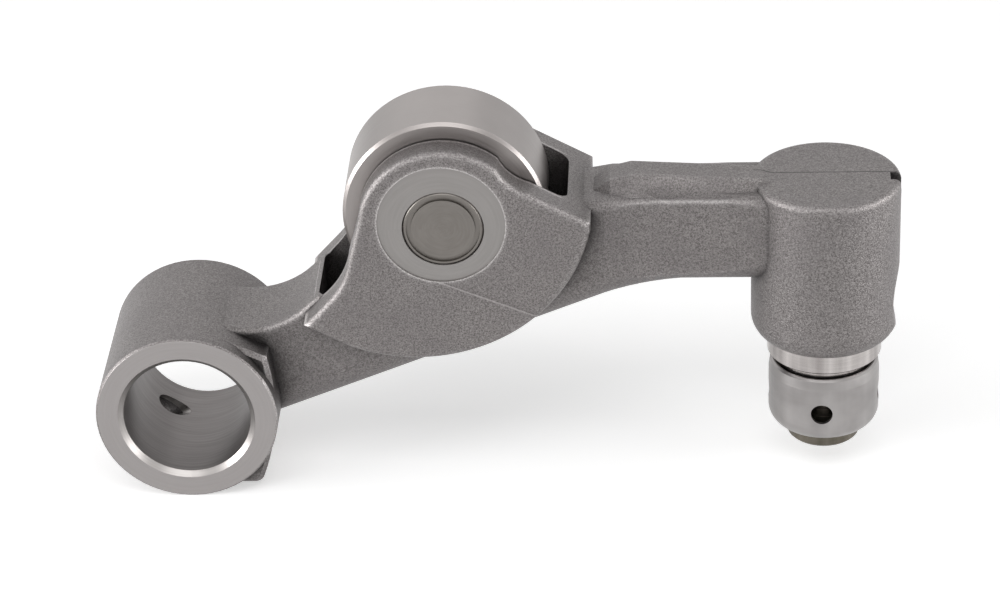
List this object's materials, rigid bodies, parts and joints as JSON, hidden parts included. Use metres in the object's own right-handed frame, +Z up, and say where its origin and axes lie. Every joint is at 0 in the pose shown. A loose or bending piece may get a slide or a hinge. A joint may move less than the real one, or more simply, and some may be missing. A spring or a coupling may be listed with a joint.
{
  "type": "roller rocker arm",
  "caption": "Cast steel rocker arm with a shaft bore at one end, a cam roller on needles between two cheeks and a hydraulic lash adjuster with a swivelling foot at the other.",
  "frame": {"origin": "middle of the shaft bore, on the casting's parting plane", "axes": "+Y along the shaft bore, +X towards the adjuster, +Z up along the adjuster's axis, away from the valve"},
  "size_m": [0.1069, 0.022, 0.053],
  "materials": {
    "rocker_body": "fine shot-blasted as-cast steel",
    "roller_pin": "ground flush with the cheeks",
    "roller_ring": "ground and superfinished",
    "needle_rollers": "ground",
    "adjuster_housing": "ground and polished",
    "adjuster_plunger": "ground",
    "plunger_spring": "drawn wire",
    "check_ball": "lapped",
    "check_ball_cage": "pressed sheet",
    "check_ball_spring": "drawn wire",
    "keeper_ring": "drawn wire",
    "foot_cap": "pressed sheet steel, satin",
    "swivel_foot": "hardened, brown tint"
  },
  "bodies": {
    "arm": {"rocker_body": "rocker_body", "roller_pin": "roller_pin", "adjuster_plunger": "adjuster_plunger", "check_ball_cage": "check_ball_cage", "plunger_spring": "plunger_spring", "check_ball_spring": "check_ball_spring"},
    "roller": {"roller_ring": "roller_ring"},
    "needles": {"needle_rollers": "needle_rollers"},
    "adjuster": {"adjuster_housing": "adjuster_housing", "foot_cap": "foot_cap", "keeper_ring": "keeper_ring"},
    "foot": {"swivel_foot": "swivel_foot"},
    "valve_ball": {"check_ball": "check_ball"}
  },
  "joints": [
    {"name": "roller_spin", "type": "hinge", "parent": "arm", "child": "roller", "pos_m": [0.03524, 0, 0.02759], "axis": [0, 1, 0], "continuous": true},
    {"name": "needle_orbit", "type": "hinge", "parent": "arm", "child": "needles", "pos_m": [0.03524, 0, 0.02759], "axis": [0, 1, 0], "continuous": true},
    {"name": "adjuster_slide", "type": "slide", "parent": "arm", "child": "adjuster", "axis": [0, 0, 1], "range_m": [0, 0.0024], "stiffness_N_per_m": 4000, "springref_m": -0.004, "deforming": ["plunger_spring"]},
    {"name": "foot_tilt", "type": "hinge", "parent": "adjuster", "child": "foot", "pos_m": [0.085, 0, -0.003], "axis": [0, 1, 0], "range_deg": [-3, 3]},
    {"name": "valve_ball_lift", "type": "slide", "parent": "arm", "child": "valve_ball", "axis": [0, 0, -1], "range_m": [0, 0.0003], "stiffness_N_per_m": 100, "springref_m": -0.0005, "deforming": ["check_ball_spring"]}
  ],
  "couplings": [
    {"joint": "needle_orbit", "follows": "roller_spin", "ratio": 0.5957}
  ]
}
